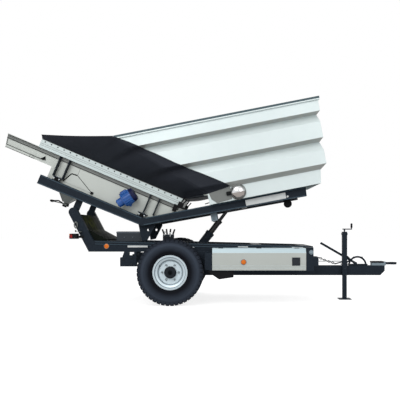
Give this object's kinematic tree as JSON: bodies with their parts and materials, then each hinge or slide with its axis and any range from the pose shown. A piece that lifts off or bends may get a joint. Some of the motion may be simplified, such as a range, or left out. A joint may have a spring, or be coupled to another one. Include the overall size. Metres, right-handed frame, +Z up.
{
  "type": "tipping grape trailer",
  "caption": "Single-axle trailer with a V-shaped tipping frame: ribbed stainless tub in front, vibrating trough with spout behind, membrane walls between.",
  "frame": {"origin": "on the ground, half-way between the spout's lip and the front of the tow eye, in the middle plane", "axes": "+X forwards to the tow eye, +Y to the left, +Z up"},
  "size_m": [5.1726, 1.68, 2.5667],
  "materials": {
    "black_plastic": "black moulded plastic",
    "buffer": "black rubber",
    "chrome": "hard chrome",
    "deck_grey": "dark grey paint",
    "frame_paint": "dark blue-grey gloss paint",
    "hub": "dark painted casting",
    "membrane": "coated tarpaulin, dark grey",
    "motor": "blue enamel",
    "rim": "silver paint",
    "stainless": "bright pickled stainless sheet",
    "trough_steel": "matt stainless sheet",
    "tyre": "black rubber",
    "zinc": "zinc plated"
  },
  "bodies": {
    "chassis": {"rail_right": "frame_paint", "rail_left": "frame_paint", "cross_member_rear": "frame_paint", "cross_member_mid": "frame_paint", "cross_member_front": "frame_paint", "rear_apron": "frame_paint", "drawbar": "frame_paint", "tow_eye": "frame_paint", "tow_block": "zinc", "ram_cradle": "frame_paint", "axle_beam": "frame_paint", "leaf_spring_right": "frame_paint", "leaf_spring_left": "frame_paint", "side_box_right": "frame_paint", "side_cover_right": "stainless", "side_box_left": "frame_paint", "side_cover_left": "stainless", "deck_box": "deck_grey", "valve_bank": "frame_paint", "rear_lamp_right": "black_plastic", "rear_lamp_left": "black_plastic", "wheel_chock_right": "black_plastic", "wheel_chock_left": "black_plastic", "jack_body": "frame_paint", "handbrake": "frame_paint", "brake_rod": "zinc"},
    "tipper": {"tip_rail_right": "frame_paint", "tip_rail_left": "frame_paint", "tip_member_rear": "frame_paint", "tub": "stainless", "tip_member_ram": "frame_paint", "tip_member_nose": "frame_paint", "tip_member_bend": "frame_paint", "trough": "trough_steel", "trough_mounts": "buffer", "trough_brackets": "frame_paint", "trough_strip": "trough_steel", "drain_floor": "trough_steel", "vibrator_right": "motor", "vibrator_left": "motor", "drain_sump": "trough_steel", "membrane_right": "membrane", "membrane_left": "membrane", "membrane_front": "membrane", "membrane_rear": "membrane", "drain_fitting": "stainless"},
    "ram_barrel": {"ram_barrel": "frame_paint"},
    "ram_stage": {"ram_stage": "chrome"},
    "ram_rod": {"ram_rod": "chrome"},
    "wheel_right": {"tyre_right": "tyre", "rim_right": "rim", "hub_right": "hub"},
    "wheel_left": {"tyre_left": "tyre", "rim_left": "rim", "hub_left": "hub"},
    "jack_leg": {"jack_leg": "frame_paint"}
  },
  "joints": [
    {"name": "tip_hinge", "type": "hinge", "parent": "chassis", "child": "tipper", "pos_m": [-1.69332, 0, 1.158], "axis": [0, -1, 0], "range_deg": [-12, 20]},
    {"name": "ram_hinge", "type": "hinge", "parent": "chassis", "child": "ram_barrel", "pos_m": [-0.28132, 0, 0.47], "axis": [0, -1, 0], "range_deg": [-14.42, 23.7]},
    {"name": "ram_stage_slide", "type": "slide", "parent": "ram_barrel", "child": "ram_stage", "axis": [0.604, 0, 0.797], "range_m": [-0.1591, 0.2639]},
    {"name": "ram_rod_slide", "type": "slide", "parent": "ram_stage", "child": "ram_rod", "axis": [0.604, 0, 0.797], "range_m": [-0.1591, 0.2639]},
    {"name": "wheel_right_spin", "type": "hinge", "parent": "chassis", "child": "wheel_right", "pos_m": [-0.43132, -0.7, 0.408], "axis": [0, 1, 0], "continuous": true},
    {"name": "wheel_left_spin", "type": "hinge", "parent": "chassis", "child": "wheel_left", "pos_m": [-0.43132, 0.7, 0.408], "axis": [0, 1, 0], "continuous": true},
    {"name": "jack_slide", "type": "slide", "parent": "chassis", "child": "jack_leg", "axis": [0, 0, 1], "range_m": [0, 0.22]}
  ],
  "couplings": [
    {"joint": "ram_hinge", "follows": "tip_hinge", "ratio": 1.16},
    {"joint": "ram_stage_slide", "follows": "tip_hinge", "m_per_rad": 0.7503},
    {"joint": "ram_rod_slide", "follows": "tip_hinge", "m_per_rad": 0.7503}
  ]
}
